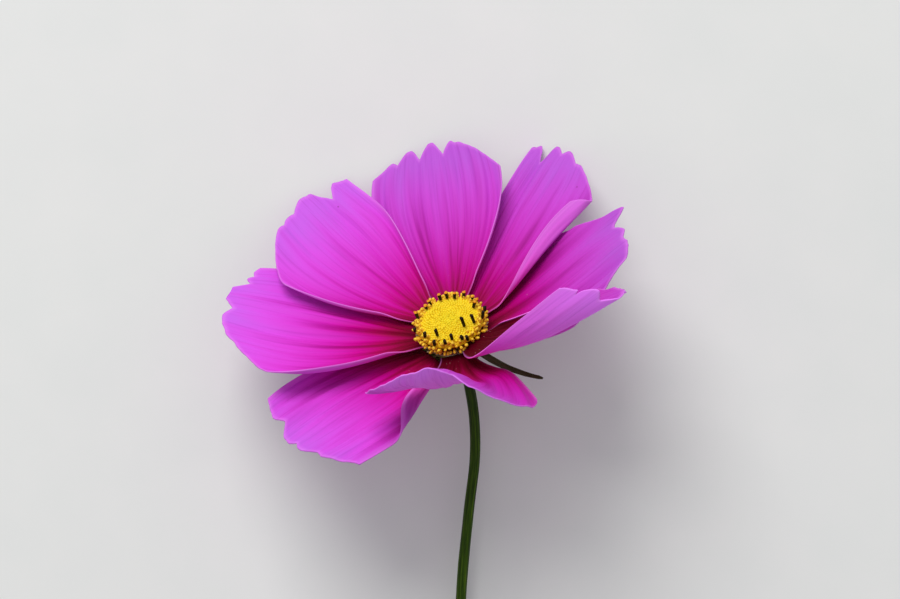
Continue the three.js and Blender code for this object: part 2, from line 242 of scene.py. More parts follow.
def stem_pith():
    material, tree, shader = blank_material("stem_pith")
    place = wire(tree, "ShaderNodeTexCoord", {}).outputs["Object"]
    cells = wire(tree, "ShaderNodeTexVoronoi", {"Vector": place, "Scale": PITH_CELLS})
    tone = ramp(
        tree,
        cells.outputs["Distance"],
        [(0.0, paint(206, 214, 160)), (0.5, paint(176, 192, 118)), (0.9, paint(128, 150, 70))],
    )
    tree.links.new(tone, shader.inputs["Base Color"])
    shader.inputs["Roughness"].default_value = 0.45
    roughen(tree, shader, cells.outputs["Distance"], 0.05 * MM)
    return material


def stem_shape():
    shape = bmesh.new()
    grain = shape.verts.layers.float_vector.new("grain")
    ring = bmesh.ops.create_circle(shape, segments=STEM_SIDES, radius=1.0)["verts"]
    for vertex in ring:
        angle = math.atan2(vertex.co.y, vertex.co.x)
        vertex.co *= 1 + STEM_RIB_HEIGHT * math.cos(STEM_RIBS * angle)
        vertex[grain] = vertex.co
    places = smooth_course([Vector(p) for p in STEM_COURSE], STEM_STEPS_PER_SPAN)
    stations = []
    distance = 0.0
    distances = []
    for i, place in enumerate(places):
        forward = (places[min(i + 1, len(places) - 1)] - places[max(i - 1, 0)]).normalized()
        neck = STEM_NECK * (1 - smooth_step(0, STEM_NECK_LENGTH, distance))
        wander = STEM_WANDER * noise.noise(Vector((STEM_WANDER_PITCH * distance, 3.0, 7.0)))
        stations.append(station(place, forward, STEM_RADIUS + neck + wander))
        distances.append(distance)
        if i + 1 < len(places):
            distance += (places[i + 1] - place).length
    start = list(shape.edges)
    end = sweep(shape, ring, start, stations)
    shape.verts.index_update()
    for vertex in shape.verts:
        vertex[grain].z = distances[vertex.index // STEM_SIDES]
    bmesh.ops.edgeloop_fill(shape, edges=start)
    cut = bmesh.ops.edgeloop_fill(shape, edges=end)["faces"]
    bmesh.ops.inset_region(shape, faces=cut, thickness=SKIN_WIDTH)
    pith = bmesh.ops.inset_region(
        shape, faces=cut, thickness=PITH_RIM, depth=-PITH_DEPTH
    )["faces"]
    for face in [*cut, *pith]:
        face.material_index = 1
    bmesh.ops.recalc_face_normals(shape, faces=shape.faces)
    return shape


stem = grow(
    "stem_stalk",
    stem_shape(),
    [stem_skin(), stem_pith()],
    Matrix.Translation(HEAD_SEAT),
)
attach(stem, "root")
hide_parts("stem")


# --- Involucre ----------------------------------------------------------------
# The green cup that carries the head, grown in one piece with the stem: a shallow
# receptacle wrapped by eight broad inner bracts and eight narrow, leafy outer ones.
HEAD_TILT = math.radians(43.8)
HEAD_SWING = math.radians(16.9)
RECEPTACLE_PROFILE = [
    (0.0, -4.6),
    (1.3, -4.6),
    (2.4, -4.25),
    (4.1, -3.6),
    (5.0, -2.7),
    (5.15, -1.3),
    (5.2, 0.1),
    (4.6, 0.3),
    (0.0, 0.3),
]
CUP_SIDES = 48
BRACT_THICKNESS = 0.3
BRACT_KEEL = 0.35  # rise of a bract's margins, against its half width
BRACT_WAVE = 0.15
BRACT_POINT = 0.04  # half width of its very tip
INNER_BRACT_FOOT = (2.2, -4.55)
INNER_BRACT_LENGTHS = [4.9] * 7 + [3.4]
INNER_BRACT_LIFTS = (-6, 26)
INNER_BRACT_WIDTHS = (1.2, 2.6, 0.9)
OUTER_BRACT_FOOT = (2.4, -4.2)
OUTER_BRACT_WIDTHS = (0.9, 0.75, 0.25)
# Outer bracts: bearing, length, and lift in degrees at the foot and at the tip
OUTER_BRACTS = [
    (-4, 17.0, -64, -21),
    (21, 12.0, -30, -5),
    (66, 12.0, -25, -5),
    (111, 12.0, -25, -5),
    (156, 12.0, -25, 0),
    (-159, 12.0, -15, 5),
    (-114, 7.0, 0, 8),
    (-69, 8.0, 5, 20),
]

head_axis = Vector((
    -math.sin(HEAD_SWING) * math.sin(HEAD_TILT),
    math.cos(HEAD_SWING) * math.sin(HEAD_TILT),
    math.cos(HEAD_TILT),
))
head_right = (Vector((1, 0, 0)) - head_axis * head_axis.x).normalized()
head_turn = Matrix((head_right, head_axis.cross(head_right), head_axis)).transposed()
HEAD = Matrix.Translation(HEAD_SEAT) @ head_turn.to_4x4()


def through(values, t):
    """The value at t of the curve through three values at 0, 0.5 and 1."""
    a, b, c = values
    return a * (1 - t) * (1 - 2 * t) + b * 4 * t * (1 - t) + c * t * (2 * t - 1)


def turned(shape, profile, steps):
    """A turned body about the head's axis, from its profile of (radius, height)."""
    verts = [shape.verts.new((radius, 0, height)) for radius, height in profile]
    edges = [shape.edges.new(pair) for pair in zip(verts, verts[1:])]
    bmesh.ops.spin(
        shape,
        geom=verts + edges,
        cent=(0, 0, 0),
        axis=(0, 0, 1),
        angle=math.tau,
        steps=steps,
        use_merge=True,
    )
    bmesh.ops.remove_doubles(shape, verts=shape.verts, dist=0.01)
    bmesh.ops.recalc_face_normals(shape, faces=shape.faces)


def leaf_material(name, shades, speckle):
    material, tree, shader = blank_material(name)
    place = wire(tree, "ShaderNodeTexCoord", {}).outputs["Object"]
    blade = wire(tree, "ShaderNodeUVMap", {}, uv_map="blade").outputs["UV"]
    stretched = wire(tree, "ShaderNodeMapping", {"Vector": blade, "Scale": (1.2, 14.0, 1.0)})
    lines = wire(
        tree,
        "ShaderNodeTexNoise",
        {"Vector": stretched.outputs["Vector"], "Scale": 1.0, "Detail": 3.0},
    ).outputs["Fac"]
    mottle = wire(
        tree, "ShaderNodeTexNoise", {"Vector": place, "Scale": 900.0, "Detail": 3.0}
    ).outputs["Fac"]
    tone = ramp(tree, lines, [(0.3, shades[0]), (0.52, shades[1]), (0.75, shades[2])])
    tone = blend_colour(tree, fade(tree, mottle, 0.5, 0.72, 0.0, speckle), tone, shades[3])
    tree.links.new(tone, shader.inputs["Base Color"])
    tree.links.new(fade(tree, mottle, 0.3, 0.7, 0.5, 0.68), shader.inputs["Roughness"])
    shader.inputs["Specular IOR Level"].default_value = 0.2
    roughen(tree, shader, lines, 0.12 * MM)
    return material


def bract_shape(bearing, foot, length, lifts, widths, rows, columns, seed):
    """A flat blade that leaves the receptacle at foot, (radius, height), and arches."""
    shape = bmesh.new()
    blade = shape.loops.layers.uv.new("blade")
    grid = bmesh.ops.create_grid(shape, x_segments=rows, y_segments=columns, size=1)["verts"]
    yaw = math.radians(bearing)
    outward = Vector((math.cos(yaw), math.sin(yaw), 0))
    side = Vector((-math.sin(yaw), math.cos(yaw), 0))
    spine = []
    place = outward * foot[0] + Vector((0, 0, foot[1]))
    for i in range(rows + 1):
        lift = math.radians(lifts[0] + (lifts[1] - lifts[0]) * i / rows)
        forward = outward * math.cos(lift) + Vector((0, 0, math.sin(lift)))
        spine.append((place.copy(), forward))
        place += forward * (length / rows)
    flat = {}
    for vertex in grid:
        t = (vertex.co.x + 1) / 2
        v = vertex.co.y
        flat[vertex] = (t, v)
        spot, forward = spine[round(t * rows)]
        half = through(widths, t) if t < 1 else BRACT_POINT
        keel = BRACT_KEEL * half * v * v
        wave = BRACT_WAVE * noise.noise(Vector((5 * t, 2 * v, seed)))
        vertex.co = spot + side * (v * half) + forward.cross(side) * (keel + wave)
    for face in shape.faces:
        for loop in face.loops:
            t, v = flat[loop.vert]
            loop[blade].uv = (t, v / 2 + 0.5)
    return shape


def merged(shapes):
    """One bmesh of several, with their layers."""
    whole = bmesh.new()
    for shape in shapes:
        mesh = bpy.data.meshes.new("part")
        shape.to_mesh(mesh)
        shape.free()
        whole.from_mesh(mesh)
        bpy.data.meshes.remove(mesh)
    return whole


def thicken(piece, thickness, underside=0):
    solidify = piece.modifiers.new("thickness", "SOLIDIFY")
    solidify.thickness = thickness * MM
    solidify.offset = 0
    solidify.material_offset = underside
    solidify.material_offset_rim = underside
    solidify.use_quality_normals = True


inner_green = leaf_material(
    "inner_bract",
    [paint(74, 84, 30), paint(112, 116, 52), paint(150, 142, 84), paint(96, 66, 40)],
    0.5,
)
outer_green = leaf_material(
    "outer_bract",
    [paint(42, 30, 6), paint(60, 46, 12), paint(88, 68, 26), paint(48, 28, 12)],
    0.7,
)

cup_shape = bmesh.new()
turned(cup_shape, RECEPTACLE_PROFILE, CUP_SIDES)
cup = grow("receptacle", cup_shape, [inner_green], HEAD)
inner_shapes = [
    bract_shape(
        45 * i, INNER_BRACT_FOOT, length, INNER_BRACT_LIFTS, INNER_BRACT_WIDTHS, 16, 10, i
    )
    for i, length in enumerate(INNER_BRACT_LENGTHS)
]
inner_bracts = grow("inner_bracts", merged(inner_shapes), [inner_green], HEAD)
outer_shapes = [
    bract_shape(
        bearing, OUTER_BRACT_FOOT, length, (foot, tip), OUTER_BRACT_WIDTHS, 22, 6, bearing
    )
    for bearing, length, foot, tip in OUTER_BRACTS
]
outer_bracts = grow("outer_bracts", merged(outer_shapes), [outer_green], HEAD)
for piece in (inner_bracts, outer_bracts):
    thicken(piece, BRACT_THICKNESS)
for piece in (cup, inner_bracts, outer_bracts):
    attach(piece, "root")
    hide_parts("involucre")


# --- Petals -------------------------------------------------------------------
# Eight soft ray petals, each seated on the rim of the receptacle by a narrow claw and
# toothed at its tip. They are thin tissue, fluted along their veins, crimson at the
# foot and lilac pink outward, and paler on the back, which shows where a margin curls.
PETAL_THICKNESS = 0.24
PETAL_ROWS = 90
PETAL_COLUMNS = 120
RIB_STEPS = 60
SEAT_RADIUS = 5.6
CLAW = 2.1
SHOULDER = 0.72
PLEAT_DEPTH = 0.5
PLEAT_PLACES = (-0.36, 0.3)
PLEAT_WIDTH = 0.13
FLUTES = 6.5
FLUTE_DEPTH = 0.75
FINE_FLUTES = 2.7  # how many fine flutes to a flute
FINE_FLUTE_SHARE = 0.3
RUFFLE = 0.5
NOTCH_POWER = 1.4
RAGGEDNESS = 0.008  # of the tip's edge, against the petal's length
RAGGED_PITCH = 9
MARGIN = 1.2  # width of the margin that curls up
CURL_GROWTH = 0.52  # tissue that a curled margin has over, per radian of its roll

# A pair gives the petal's left and right hand, looking outward, and angles are in
# degrees. A notch is (place across, depth, half opening), and a fold is a line's place
# along and across, its heading, the radius of the turn and how far the tissue turns.
# Each petal's strength scales its face colours and its back strength scales its back's: painted
# shade on the faces turned from the lamp, painted light on backs that lie in shade.
PETALS = [
    dict(
        name="petal_left", bearing=179, seat=-0.4, length=39, width=(15.8, 12),
        claw=(2.8, 2.1), lift=(18, 16, 10), sweep=-16, twist=8, cup=(6, 2, 0), tip=(0.9, 0.88),
        corner=(0.33, 0.1), corner_power=2.1,
        notches=[(0.04, 0.05, 0.22), (-0.34, -0.14, 0.26), (-0.6, 0.05, 0.14), (-0.78, 0.03, 0.1)],
        curl=(120, 0), seed=1, strength=1.0, back_painted_light=1.1,
    ),
    dict(
        name="petal_upper_left", bearing=140, seat=0.7, length=37.2, width=(15.5, 10.6),
        lift=(24, 16, 6), sweep=-15, twist=3, cup=(6, 8, 4), tip=(0.85, 0.92),
        corner=(0.4, 0.06), corner_power=2.2,
        notches=[(-0.5, 0.11, 0.24), (0.18, 0.05, 0.2), (0.4, 0.03, 0.2)],
        curl=(112, 95), seed=2, strength=0.96, back_painted_light=1.1, flush=-0.1,
    ),
    dict(
        name="petal_top", bearing=92, seat=-0.3, length=35.5, width=(13.3, 12.8),
        lift=(22, 21, 17), twist=-9, cup=(4, 4, 0), corner=(0.16, 0.24),
        notches=[(-0.15, 0.09, 0.18), (0.27, 0.08, 0.16), (0.64, 0.04, 0.1)],
        curl=(0, 90), seed=3, strength=0.84, back_painted_light=1.05, flush=-0.12, pollen=0.2,
    ),
    dict(
        name="petal_upper_right", bearing=60, seat=-1.4, length=39.8, width=(5.4, 15.4),
        lift=(20, 13, -4), sweep=-1, twist=-9, cup=(10, 8, 4), claw=(2.1, 2.8),
        tip=(1.05, 0.82), corner=(0.04, 0.38), corner_power=2.1,
        notches=[(0.38, 0.11, 0.28), (-0.12, 0.04, 0.12), (-0.4, 0.03, 0.12)],
        folds=[(26, -12.9, 160.5, 0.7, 155)], lap=(0, 1.1), curl=(0, 0),
        seed=4, strength=0.82, back_painted_light=1.2, flush=-0.12, pollen=0.3,
    ),
    dict(
        name="petal_right", bearing=5, seat=-2.3, length=35.8, width=(16.6, 12),
        flare=(0.8, 1), lift=(12, 33, 30), sweep=3, twist=-8, cup=(-6, -4, 0), claw=(4.4, 2.1),
        tip=(0.95, 0.95), corner=(0.58, 0.45),
        notches=[(0.56, -0.13, 0.17), (0.36, 0.05, 0.14), (0.1, 0.04, 0.3)],
        curl=(0, 0), seed=5, strength=0.8, back_painted_light=1.0, flush=-0.07, pollen=0.5,
    ),
    dict(
        name="petal_lower_right", bearing=-40, seat=0.8, length=39.4, width=(7.6, 11),
        claw=(2.1, 2.8), flare=(1.5, 0.55), shoulder=(0.72, 0.96), lift=(28, 30, 26),
        sweep=42, twist=-30, cup=(4, 10, 12), corner=(0.22, 0.18),
        notches=[(-0.45, 0.05, 0.12), (-0.2, 0.04, 0.1), (-0.75, 0.05, 0.1)],
        folds=[(36, -1, 187, 4, 88)], curl=(105, 0),
        seed=6, strength=0.72, back_painted_light=1.38, flush=0.17, pollen=1.0,
    ),
    dict(
        name="petal_front", bearing=-84, seat=-0.8, length=35, width=(17.8, 18),
        flare=(1.5, 1.8), lift=(8, 46, 60), sweep=-2, twist=-5, cup=(4, 6, 0), claw=(3, 3.1),
        corner=(0.5, 0.4), corner_power=2.2, notches=[(0.1, 0.05, 0.3)],
        folds=[(14, 0, 240, 8, 12), (17, 4, -30, 6, -38), (18, -5, 210, 8, -14)],
        curl=(0, 0), seed=7, strength=0.79, back_painted_light=1.25, flush=0.09, pollen=1.0,
    ),
    dict(
        name="petal_lower_left", bearing=-138, seat=-2.8, length=35.4, width=(12.6, 14),
        claw=(1.2, 4.4), flare=(0.8, 0.8), shoulder=(0.4, 0.72), lift=(10, 12, 12),
        sweep=4, cup=(0, 0, 0), tip=(0.95, 0.88), corner=(0.14, 0.16), corner_power=1.8,
        notches=[(-0.5, 0.06, 0.2), (0.3, 0.05, 0.2), (-0.05, 0.03, 0.1)],
        folds=[(6.4, 5.4, 24, 0.7, 160)], curl=(0, 30),
        seed=8, strength=0.96, back_painted_light=0.95, pollen=0.2,
    ),
]


def midrib(petal):
    """The midrib as a row of places, each with its own forward, sideways and up."""
    step = petal["length"] / RIB_STEPS
    seat = math.radians(petal["bearing"])
    place = Vector((SEAT_RADIUS * math.cos(seat), SEAT_RADIUS * math.sin(seat), petal["seat"]))
    rib = []
    for i in range(RIB_STEPS + 1):
        t = i / RIB_STEPS
        yaw = math.radians(petal["bearing"] + petal.get("sweep", 0) * t)
        lift = math.radians(through(petal["lift"], t))
        forward = Vector((
            math.cos(lift) * math.cos(yaw),
            math.cos(lift) * math.sin(yaw),
            math.sin(lift),
        ))
        roll = Matrix.Rotation(math.radians(petal.get("twist", 0) * t), 3, forward)
        side = roll @ Vector((-math.sin(yaw), math.cos(yaw), 0))
        rib.append((place.copy(), side, forward.cross(side)))
        place += forward * step
    return rib


def half_width(petal, t, v):
    hand = 0 if v > 0 else 1
    full = petal["width"][hand]
    claw = petal.get("claw", (CLAW, CLAW))[hand]
    shoulder = petal.get("shoulder", (SHOULDER, SHOULDER))[hand]
    if t < shoulder:
        flare = petal.get("flare", (1.15, 1.15))[hand]
        return claw + (full - claw) * math.sin(t / shoulder * math.pi / 2) ** flare
    narrowing = 1 - petal.get("tip", (0.8, 0.8))[hand]
    k = (t - shoulder) / (1 - shoulder)
    return full * (1 - narrowing * k * k)


def reach(petal, v):
    """How far the petal reaches at v, with its rounded corners and its notches."""
    corner = petal.get("corner", (0.22, 0.22))[0 if v > 0 else 1]
    length = 1 - corner * abs(v) ** petal.get("corner_power", 2.6)
    for centre, depth, half_opening in petal["notches"]:
        length -= depth * max(0, 1 - abs(v - centre) / half_opening) ** NOTCH_POWER
    return length + RAGGEDNESS * noise.noise(Vector((RAGGED_PITCH * v, 5.0, petal["seed"])))


def relief(petal, t, v, half):
    """The pleats, flutes and ruffle that stand out of the flat petal."""
    height = 0
    for centre in PLEAT_PLACES:
        height -= PLEAT_DEPTH * math.exp(-(((v - centre) / PLEAT_WIDTH) ** 2))
    height *= smooth_step(0.05, 0.5, t)
    seed = petal["seed"]
    open_part = half / max(petal["width"])
    flute = noise.noise(Vector((0.9 * t, FLUTES * v, 10 + seed)))
    fine = FINE_FLUTE_SHARE * noise.noise(
        Vector((1.2 * t, FINE_FLUTES * FLUTES * v, 50 + seed))
    )
    flatter = 1 - 0.5 * smooth_step(0.7, 1, t)
    height += FLUTE_DEPTH * open_part * (flute + fine) * flatter
    sway = noise.noise(Vector((3.2 * t, 2.6 * v, 30 + seed)))
    return height + RUFFLE * sway * smooth_step(0.35, 1, t)


def roll_angle(petal, t, hand):
    """How far the margin is rolled up at t, most of it near the foot."""
    most = math.radians(petal["curl"][hand])
    return most * smooth_step(0.02, 0.2, t) * (1 - smooth_step(0.4, 0.9, t))


def curl_margin(point, turn, half, lap):
    """Rolls the margin and the tissue beyond it up, so that the petal's back shows."""
    width = min(MARGIN, 0.4 * half)
    beyond = abs(point.y) - (half - width)
    if beyond <= 0 or turn < 0.01:
        return
    radius = (width + lap) / turn
    angle = beyond / radius
    point.y = math.copysign(half - width + radius * math.sin(angle), point.y)
    point.z += radius * (1 - math.cos(angle))


def fold(point, line_x, line_y, heading, radius, turn):
    """Turns what lies beyond a line up round a cylinder, or down for a negative turn."""
    along_x = math.cos(math.radians(heading))
    along_y = math.sin(math.radians(heading))
    beyond = -(point.x - line_x) * along_y + (point.y - line_y) * along_x
    if beyond <= 0:
        return
    angle = min(beyond / radius, math.radians(abs(turn)))
    rest = beyond - angle * radius
    across = radius * math.sin(angle) + rest * math.cos(angle)
    point.x -= along_y * (across - beyond)
    point.y += along_x * (across - beyond)
    point.z += math.copysign(radius * (1 - math.cos(angle)) + rest * math.sin(angle), turn)


def petal_point(petal, rib, t, v):
    half = half_width(petal, t, v)
    hand = 0 if v > 0 else 1
    turn = roll_angle(petal, t, hand)
    widened = smooth_step(0, 0.12, t) * (1 - smooth_step(0.75, 0.95, t))
    lap = CURL_GROWTH * turn + petal.get("lap", (0, 0))[hand] * widened
    point = Vector((t * petal["length"], v * (half + lap), relief(petal, t, v, half)))
    curl_margin(point, turn, half, lap)
    for line in petal.get("folds", ()):
        fold(point, *line)
    s = min(1, max(0, point.x / petal["length"]))
    index = min(RIB_STEPS - 1, int(s * RIB_STEPS))
    between = point.x / petal["length"] * RIB_STEPS - index
    place, side, up = (a.lerp(b, between) for a, b in zip(rib[index], rib[index + 1]))
    width = petal["width"][0 if point.y > 0 else 1]
    curvature = math.radians(through(petal["cup"], s)) / width
    bend = curvature * point.y
    flat = abs(curvature) < 1e-6
    across = point.y if flat else math.sin(bend) / curvature
    rise = 0 if flat else (1 - math.cos(bend)) / curvature
    sideways = side * (across - math.sin(bend) * point.z)
    return place + sideways + up * (rise + math.cos(bend) * point.z)


def petal_shape(petal):
    shape = bmesh.new()
    tissue = shape.loops.layers.uv.new("tissue")
    margin = shape.verts.layers.float.new("margin")
    grid = bmesh.ops.create_grid(
        shape, x_segments=PETAL_ROWS, y_segments=PETAL_COLUMNS, size=1
    )["verts"]
    rib = midrib(petal)
    flat = {}
    for vertex in grid:
        u = (vertex.co.x + 1) / 2
        v = (vertex.co.y + math.sin(vertex.co.y * math.pi / 2)) / 2
        t = min(1, u * reach(petal, v))
        flat[vertex] = (t, v)
        vertex[margin] = max(abs(v) ** 3, u ** 8)
        vertex.co = petal_point(petal, rib, t, v)
    for face in shape.faces:
        for loop in face.loops:
            t, v = flat[loop.vert]
            loop[tissue].uv = (t, v / 2 + 0.5)
    return shape


def tissue_marks():
    """Streaks, fine veins, dark flecks and pollen on a petal, from its flat place."""
    group = bpy.data.node_groups.new("tissue_marks", "ShaderNodeTree")
    for name, kind in (("Place", "Vector"), ("Seed", "Float")):
        group.interface.new_socket(name, in_out="INPUT", socket_type="NodeSocket" + kind)
    for name in ("Streaks", "Veins", "Flecks", "Pollen"):
        group.interface.new_socket(name, in_out="OUTPUT", socket_type="NodeSocketFloat")
    given = group.nodes.new("NodeGroupInput").outputs
    result = group.nodes.new("NodeGroupOutput").inputs
    shift = wire(group, "ShaderNodeCombineXYZ", {"X": given["Seed"], "Z": given["Seed"]})

    def pattern(kind, scale, settings):
        moved = wire(
            group,
            "ShaderNodeMapping",
            {"Vector": given["Place"], "Scale": scale, "Location": shift.outputs["Vector"]},
        )
        return wire(group, kind, {"Vector": moved.outputs["Vector"], "Scale": 1.0, **settings})

    streaks = pattern("ShaderNodeTexNoise", (1.0, 13, 1), {"Detail": 2.5, "Roughness": 0.5})
    veins = pattern("ShaderNodeTexNoise", (2.5, 70, 1), {"Detail": 2.0, "Roughness": 0.5})
    flecks = pattern("ShaderNodeTexVoronoi", (8, 6, 1), {"Randomness": 1.0})
    pollen = pattern("ShaderNodeTexVoronoi", (44, 18, 1), {"Randomness": 1.0})
    group.links.new(streaks.outputs["Fac"], result["Streaks"])
    group.links.new(veins.outputs["Fac"], result["Veins"])
    spots = ((flecks, 0.07, 0.8, "Flecks"), (pollen, 0.09, 0.56, "Pollen"))
    for cells, size, share, name in spots:
        chosen = wire(group, "ShaderNodeSeparateColor", {"Color": cells.outputs["Color"]})
        kept = calculate(group, "GREATER_THAN", chosen.outputs["Red"], share)
        spot = fade(group, cells.outputs["Distance"], size, size * 0.5)
        group.links.new(calculate(group, "MULTIPLY", spot, kept), result[name])
    return group


MARKS = tissue_marks()
MARGIN_SHADE = paint(236, 140, 240)
FLECK_SHADE = paint(96, 20, 70)
POLLEN_SHADE = paint(255, 226, 206)


def petal_material(name, seed, shades, strength, flush, vein_shade, pollen):
    """Petal tissue: shades from the foot to the tip, made lighter or darker by strength as painted
    light and shade; flush draws the foot's farther out.
    """
    # Painted light and shade: the whole ramp is darkened or lightened for this petal.
    shades = [
        (position, tuple(strength * c for c in colour[:3]) + (1.0,))
        for position, colour in shades
    ]
    material, tree, shader = blank_material(name)
    place = wire(tree, "ShaderNodeUVMap", {}, uv_map="tissue").outputs["UV"]
    along = wire(tree, "ShaderNodeSeparateXYZ", {"Vector": place}).outputs["X"]
    margin = wire(tree, "ShaderNodeAttribute", {}, attribute_name="margin").outputs["Fac"]
    marks = tree.nodes.new("ShaderNodeGroup")
    marks.node_tree = MARKS
    tree.links.new(place, marks.inputs["Place"])
    marks.inputs["Seed"].default_value = 3.7 * seed
    streaks = marks.outputs["Streaks"]
    veins = marks.outputs["Veins"]
    pull = calculate(tree, "MULTIPLY_ADD", streaks, -0.36, 0.18 - flush)
    depth = calculate(tree, "ADD", along, pull)
    tone = ramp(tree, depth, shades)
    inner_part = fade(tree, along, 1.0, 0.4)
    vein = calculate(tree, "MULTIPLY", fade(tree, streaks, 0.5, 0.72), inner_part)
    vein = calculate(tree, "MULTIPLY", vein, fade(tree, depth, 0.06, 0.3, 0.25, 1.0))
    tone = blend_colour(
        tree, calculate(tree, "MULTIPLY", vein, 0.55), tone, vein_shade, mode="MULTIPLY"
    )
    hair = calculate(tree, "MULTIPLY", fade(tree, veins, 0.5, 0.75), 0.2)
    tone = blend_colour(tree, hair, tone, vein_shade, mode="MULTIPLY")
    pale = calculate(tree, "MULTIPLY", fade(tree, margin, 0.75, 1.0), 0.35)
    tone = blend_colour(tree, pale, tone, MARGIN_SHADE)
    flecked = calculate(tree, "MULTIPLY", marks.outputs["Flecks"], 0.55)
    tone = blend_colour(tree, flecked, tone, FLECK_SHADE)
    dusted = calculate(tree, "MULTIPLY", fade(tree, along, 0.34, 0.22), pollen)
    dusted = calculate(tree, "MULTIPLY", marks.outputs["Pollen"], dusted)
    tone = blend_colour(tree, dusted, tone, POLLEN_SHADE)
    tree.links.new(tone, shader.inputs["Base Color"])
    tree.links.new(fade(tree, veins, 0.3, 0.7, 0.5, 0.64), shader.inputs["Roughness"])
    shader.inputs["Specular IOR Level"].default_value = 0.06
    height = calculate(tree, "MULTIPLY_ADD", veins, 0.3, streaks)
    roughen(tree, shader, height, 0.25 * MM, 0.7)
    return material


UPPER_SHADES = [
    (0.0, paint(98, 0, 26)),
    (0.1, paint(132, 0, 48)),
    (0.2, paint(174, 0, 90)),
    (0.32, paint(202, 2, 146)),
    (0.46, paint(212, 36, 184)),
    (0.62, paint(218, 60, 208)),
    (0.8, paint(216, 78, 222)),
    (1.0, paint(202, 94, 226)),
]
BACK_SHADES = [
    (0.0, paint(216, 34, 140)),
    (0.18, paint(212, 62, 178)),
    (0.36, paint(204, 86, 196)),
    (0.7, paint(200, 94, 204)),
    (1.0, paint(206, 108, 226)),
]
FACE_VEIN = paint(170, 90, 160)
BACK_VEIN = paint(174, 147, 186)

# Each petal's face and back are lit and shaded copies of one tissue: their strengths paint its
# light and shade.
for petal in PETALS:
    upper = petal_material(
        petal["name"] + "_face", petal["seed"], UPPER_SHADES, petal["strength"],
        petal.get("flush", 0.0), FACE_VEIN, petal.get("pollen", 0.0),
    )
    back = petal_material(
        petal["name"] + "_back", petal["seed"], BACK_SHADES, petal["back_painted_light"],
        0.0, BACK_VEIN, 0.0,
    )
    piece = grow(petal["name"] + "_blade", petal_shape(petal), [upper, back], HEAD)
    thicken(piece, PETAL_THICKNESS, underside=1)
    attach(piece, "root")
    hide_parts(petal["name"])


# --- Disc ---------------------------------------------------------------------
# The yellow eye: a low dome packed with closed florets. Open florets stand round its
# rim on their own tubes with golden, pollen-laden heads, some with a dark anther tube,
# and pale papery scales fill the gap between them and the petals.
DISC_RADIUS = 6.6
DISC_RIM = 2.6
DISC_TOP = 3.6
DOME_PROFILE = [(0.0, 0.3), (4.9, 0.4), (5.5, 1.4), (6.2, 2.0), (6.4, 2.4), (6.0, 2.7)]
DOME_RINGS = 8
DOME_SIDES = 64
BUD_COUNT = 430
BUD_FIELD = 5.7
BUD_RADIUS = 0.33
BUD_HALF_HEIGHT = 0.34
BUD_NARROWING = 0.5  # how much slimmer a bud is at its top
BUD_LEAN = 34  # of the outermost, in degrees
BUD_SUNK = 0.06
BUD_STRAY = 0.14  # how far a bud sits off the spiral
GOLDEN_ANGLE = math.pi * (3 - math.sqrt(5))
draw = random.Random(7)


def dome_height(radius):
    return DISC_TOP - (DISC_TOP - DISC_RIM) * (radius / DISC_RADIUS) ** 2


def upright(radius, bearing, height, lean, size):
    """The place of a floret whose top leans away from the axis by lean degrees."""
    return (
        Matrix.Rotation(bearing, 4, "Z")
        @ Matrix.Translation((radius, 0, height))
        @ Matrix.Rotation(math.radians(lean), 4, "Y")
        @ Matrix.Scale(size, 4)
    )


def floret_material(name, low, middle, high, centre):
    """Floret tissue: darker toward its foot, painted shade down among its neighbours, and centre's
    shade toward the disc's axis.
    """
    material, tree, shader = blank_material(name)
    place = wire(tree, "ShaderNodeTexCoord", {}).outputs["Object"]
    rise = wire(tree, "ShaderNodeAttribute", {}, attribute_name="rise").outputs["Fac"]
    axis = wire(tree, "ShaderNodeAttribute", {}, attribute_name="from_axis").outputs["Fac"]
    grains = wire(
        tree, "ShaderNodeTexNoise", {"Vector": place, "Scale": 2600.0, "Detail": 3.0}
    ).outputs["Fac"]
    uneven = calculate(tree, "MULTIPLY_ADD", grains, 0.5, -0.25)
    # Painted shade: the ramp by rise darkens each floret, and the dome, toward its foot.
    tone = ramp(
        tree,
        calculate(tree, "ADD", rise, uneven),
        [(0.05, low), (0.5, middle), (0.95, high)],
    )
    tone = blend_colour(tree, fade(tree, axis, 0.62, 0.0, 0.0, 0.75), tone, centre)
    tree.links.new(tone, shader.inputs["Base Color"])
    tree.links.new(fade(tree, grains, 0.3, 0.7, 0.5, 0.7), shader.inputs["Roughness"])
    shader.inputs["Specular IOR Level"].default_value = 0.3
    roughen(tree, shader, grains, 0.12 * MM)
    return material


def set_rise(shape, verts, low, high, from_axis):
    """Marks how far up a floret each of its vertices is, which sets its painted shade."""
    rise = shape.verts.layers.float["rise"]
    axis = shape.verts.layers.float["from_axis"]
    for vertex in verts:
        vertex[rise] = (vertex.co.z - low) / (high - low)
        vertex[axis] = from_axis


def floret_layers(shape):
    shape.verts.layers.float.new("rise")
    shape.verts.layers.float.new("from_axis")


# The low colour of each is the painted shade at a floret's foot.
yolk = floret_material(
    "closed_floret",
    paint(226, 180, 6), paint(238, 204, 14), paint(248, 222, 36), paint(234, 218, 30),
)
gold = floret_material(
    "open_floret",
    paint(140, 66, 6), paint(228, 160, 12), paint(252, 208, 54), paint(240, 194, 32),
)

dome_shape = bmesh.new()
floret_layers(dome_shape)
rings = [DISC_RADIUS * 0.9 * (1 - i / DOME_RINGS) for i in range(DOME_RINGS)]
dome_top = [(r, dome_height(r)) for r in rings] + [(0.0, DISC_TOP)]
turned(dome_shape, DOME_PROFILE + dome_top, DOME_SIDES)
set_rise(dome_shape, dome_shape.verts, 0.3, 6.5, 0.9)
dome = grow("disc_dome", dome_shape, [yolk], HEAD)

